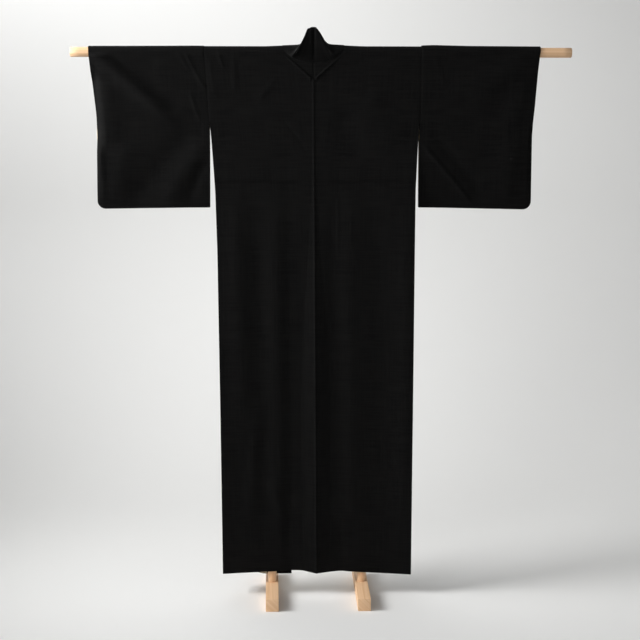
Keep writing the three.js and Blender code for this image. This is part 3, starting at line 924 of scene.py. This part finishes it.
class KIMONO_OT_body_lengths(bpy.types.Operator):
    """Make the two body lengths, each worn over the shoulder in one piece"""
    bl_idname = "kimono.body_lengths"
    bl_label = "Body lengths"

    def execute(self, context):
        columns = context.scene.kimono_cloth.columns
        for side in SIDES:
            points, out, lengths = body_grid(side, columns)
            piece = shell(f"body_{side}", points, out, -CLOTH / 2, CLOTH / 2, lengths,
                          [black_tsumugi(context)])
            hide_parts(f"back_{side}", f"front_{side}")
        return {"FINISHED"}


class KIMONO_OT_lining(bpy.types.Operator):
    """Make the lining of the body lengths, from their own points moved in"""
    bl_idname = "kimono.lining"
    bl_label = "Lining"

    def execute(self, context):
        columns = context.scene.kimono_cloth.columns // 2 - 5
        for side in SIDES:
            points, out, lengths = body_grid(side, columns, LINING_SETBACK)
            piece = shell(f"body_lining_{side}", points, out, -LINING_DEPTH,
                          -CLOTH / 2 - LINING_GAP, lengths, [cream_lining(context)])
            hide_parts(f"lining_{side}")
        return {"FINISHED"}


class KIMONO_OT_sleeves(bpy.types.Operator):
    """Make the sleeves: one folded length each, sewn up along the bottom and part of the wrist"""
    bl_idname = "kimono.sleeves"
    bl_label = "Sleeves"
    COLUMNS = 96

    def execute(self, context):
        corner = SLEEVE_CORNER * (1 - np.cos(np.linspace(0, math.pi / 2, 10)))
        for side in SIDES:
            reach = depth(sum(SLEEVE_HEM[side]) / 2)
            down = np.concatenate([reach - corner, spread((reach - SLEEVE_CORNER, 4.5), (QUARTER,))[1:]])
            over = np.linspace(-QUARTER, QUARTER, 25)
            s = np.concatenate([-down, over[1:-1], down[::-1]])[:, None]
            u = (1 - (1 - np.linspace(0, 1, self.COLUMNS)) ** 1.25)[None, :]
            points = sleeve_form(side, u, s)
            lengths = stacked(np.abs(points[..., 0] - points[:, :1, 0]), s)
            piece = shell(f"{side}_sleeve", points, out_of_rod(s[:, 0]), -LINING_DEPTH, CLOTH / 2,
                          lengths, [black_tsumugi(context), cream_lining(context)],
                          lined_from=(3, 0))
            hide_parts(f"sleeve_{side}")
        return {"FINISHED"}


class KIMONO_OT_okumi(bpy.types.Operator):
    """Make the narrow front overlaps between the body lengths and the collar"""
    bl_idname = "kimono.okumi"
    bl_label = "Okumi"
    COLUMNS = 34

    def execute(self, context):
        for side in SIDES:
            hem = FRONT_HEM[side]
            s = spread((QUARTER + OKUMI_POINT + 4, 11), (depth(hem + 8), 2), (depth(hem),))[:, None]
            width = body_width(side, s)
            start = okumi_seam(s) + GAP / 2 / width
            f = start + (1 - start) * np.linspace(0, 1, self.COLUMNS)
            piece = shell(f"{side}_okumi", body_form(side, f, s), out_of_rod(s[:, 0]),
                          -LINING_DEPTH, CLOTH / 2, stacked(f * width, s),
                          [black_tsumugi(context), cream_lining(context)], lined_from=(5, 0))
            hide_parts(f"okumi_{side}")
        return {"FINISHED"}


class KIMONO_OT_collar(bpy.types.Operator):
    """Make the collar, one band up a front, round the neck and down the other front"""
    bl_idname = "kimono.collar"
    bl_label = "Collar"
    COLUMNS = 36

    def execute(self, context):
        down = spread((0, 2.5), (QUARTER, 7), (QUARTER + OKUMI_FULL,))
        s = np.concatenate([neck_rows(90), down])[:, None]
        t = np.linspace(0, 1, self.COLUMNS)[None, :]
        halves = [collar_form(side, t, s) for side in SIDES]
        middle = (halves[0][:1] + halves[1][:1]) / 2
        points = np.concatenate([halves[0][:0:-1], middle, halves[1][1:]])
        out = out_of_rod(np.concatenate([s[:0:-1, 0], s[:, 0]]))
        step = np.linalg.norm(np.diff(points[:, 0], axis=0), axis=1)
        along = np.concatenate([[0], np.cumsum(step)])
        lengths = stacked(t * 2 * COLLAR_WIDTH, along[:, None])
        piece = shell("collar_band", points, out, -COLLAR_WALL / 2, COLLAR_WALL / 2, lengths,
                      [black_tsumugi(context)])
        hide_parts("collar")
        return {"FINISHED"}


class KIMONO_OT_stand(bpy.types.Operator):
    """Make the stand: the rod, two posts coped to it and two square feet"""
    bl_idname = "kimono.stand"
    bl_label = "Stand"
    TURN = np.arange(48) * 2 * math.pi / 48          # round a stick
    GIRTH = 94.0                 # for the grain

    def execute(self, context):
        wood = stand_wood(context)
        chamfer = context.scene.kimono_stand.chamfer / MM
        self.rod(wood, chamfer)
        for side in SIDES:
            self.post(side, wood)
            self.foot(side, wood, chamfer)
        return {"FINISHED"}

    def rod(self, wood, chamfer):
        half = ROD_HIGH[0]
        steps = np.linspace(-half + chamfer, half - chamfer, 60)
        x = np.concatenate([[-half] * 3, steps, [half] * 3])
        end = [0.4, ROD_RADIUS * 0.6, ROD_RADIUS - chamfer]
        radii = np.concatenate([end, np.full(len(steps), ROD_RADIUS), end[::-1]])[:, None]
        points = stacked(x[:, None], radii * np.cos(self.TURN),
                         ROD_HEIGHT + radii * np.sin(self.TURN))
        piece = self.lathed("stand_rod", points, wood, 0)
        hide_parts("rod")

    def post(self, side, wood):
        low, high = node_box(f"post_{side}")
        centre = (low[:2] + high[:2]) / 2
        radius = (high[0] - low[0]) / 2
        shares = np.concatenate([[0.03, 0.6], np.ones(30), [0.8, 0.6, 0.4, 0.2, 0.03]])
        levels = np.concatenate([[0, 0], np.linspace(0, 1, 30), np.ones(5)])
        x = centre[0] + radius * shares[:, None] * np.cos(self.TURN)
        y = centre[1] + radius * shares[:, None] * np.sin(self.TURN)
        cope = ROD_HEIGHT - np.sqrt((ROD_RADIUS + COPE_GAP) ** 2 - (y - centre[1]) ** 2)
        z = lerp(low[2], cope, levels[:, None])
        piece = self.lathed(f"stand_post_{side}", stacked(x, y, z), wood, 2)
        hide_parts(f"post_{side}")

    def lathed(self, name, points, wood, axis):
        """A stick from rings of points, closed at both ends, with its grain along an axis."""
        rings, around = points.shape[:2]
        ids = np.arange(rings * around).reshape(rings, around)
        onward = np.roll(ids, -1, axis=1)
        quads = np.stack([ids[:-1], onward[:-1], onward[1:], ids[1:]], axis=2).reshape(-1, 4)
        lengths = stacked(np.arange(around) * self.GIRTH / around, points[..., axis])
        piece = piece_from(name, points.reshape(-1, 3), quads, lengths.reshape(-1, 2), [wood])
        mesh = bmesh.new()
        mesh.from_mesh(piece.data)
        open_edges = [edge for edge in mesh.edges if edge.is_boundary]
        bmesh.ops.holes_fill(mesh, edges=open_edges, sides=0)
        bmesh.ops.recalc_face_normals(mesh, faces=mesh.faces)
        mesh.to_mesh(piece.data)
        mesh.free()
        return piece

    def foot(self, side, wood, chamfer):
        low, high = node_box(f"foot_{side}")
        mesh = bmesh.new()
        bmesh.ops.create_cube(mesh, size=1.0)
        size = Matrix.Diagonal(Vector(high - low) * MM).to_4x4()
        place = Matrix.Translation(Vector(low + high) * MM / 2)
        bmesh.ops.transform(mesh, verts=mesh.verts, matrix=place @ size)
        bmesh.ops.bevel(mesh, geom=mesh.edges, offset=chamfer * MM, segments=2, profile=0.6,
                        affect="EDGES")
        layer = mesh.loops.layers.uv.new("Metres")
        for face in mesh.faces:
            for loop in face.loops:
                corner = loop.vert.co
                loop[layer].uv = (corner.x + corner.z, corner.y)
            face.smooth = True
        data = bpy.data.meshes.new(f"stand_foot_{side}")
        mesh.to_mesh(data)
        mesh.free()
        data.set_sharp_from_angle(angle=math.radians(40))
        data.materials.append(wood)
        piece = new_object(f"stand_foot_{side}", data)
        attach(piece, "root")
        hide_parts(f"foot_{side}")


class KIMONO_PT_panel(bpy.types.Panel):
    """Lists the pieces of the kimono and its stand"""
    bl_idname = "KIMONO_PT_panel"
    bl_label = "Kimono on a Stand"
    bl_space_type = "VIEW_3D"
    bl_region_type = "UI"
    bl_category = "Kimono"

    def draw(self, context):
        for operator in OPERATORS:
            self.layout.operator(operator.bl_idname)
        for settings in SETTINGS:
            group = getattr(context.scene, settings)
            box = self.layout.box()
            for name in group.__annotations__:
                box.prop(group, name)


SETTINGS = {
    "kimono_cloth": KimonoClothSettings,
    "kimono_stand": KimonoStandSettings,
    "kimono_stage": KimonoStageSettings,
}
OPERATORS = (
    KIMONO_OT_stage, KIMONO_OT_stand, KIMONO_OT_lining, KIMONO_OT_body_lengths, KIMONO_OT_sleeves,
    KIMONO_OT_okumi, KIMONO_OT_collar,
)
CLASSES = (*SETTINGS.values(), *OPERATORS, KIMONO_PT_panel)


def register():
    for kind in CLASSES:
        bpy.utils.register_class(kind)
    for name, kind in SETTINGS.items():
        setattr(bpy.types.Scene, name, PointerProperty(type=kind))


def unregister():
    for name in SETTINGS:
        delattr(bpy.types.Scene, name)
    for kind in reversed(CLASSES):
        bpy.utils.unregister_class(kind)


def main():
    register()
    bpy.ops.kimono.stage()
    bpy.ops.kimono.stand()
    bpy.ops.kimono.lining()
    bpy.ops.kimono.body_lengths()
    bpy.ops.kimono.sleeves()
    bpy.ops.kimono.okumi()
    bpy.ops.kimono.collar()


if __name__ == "__main__":
    main()
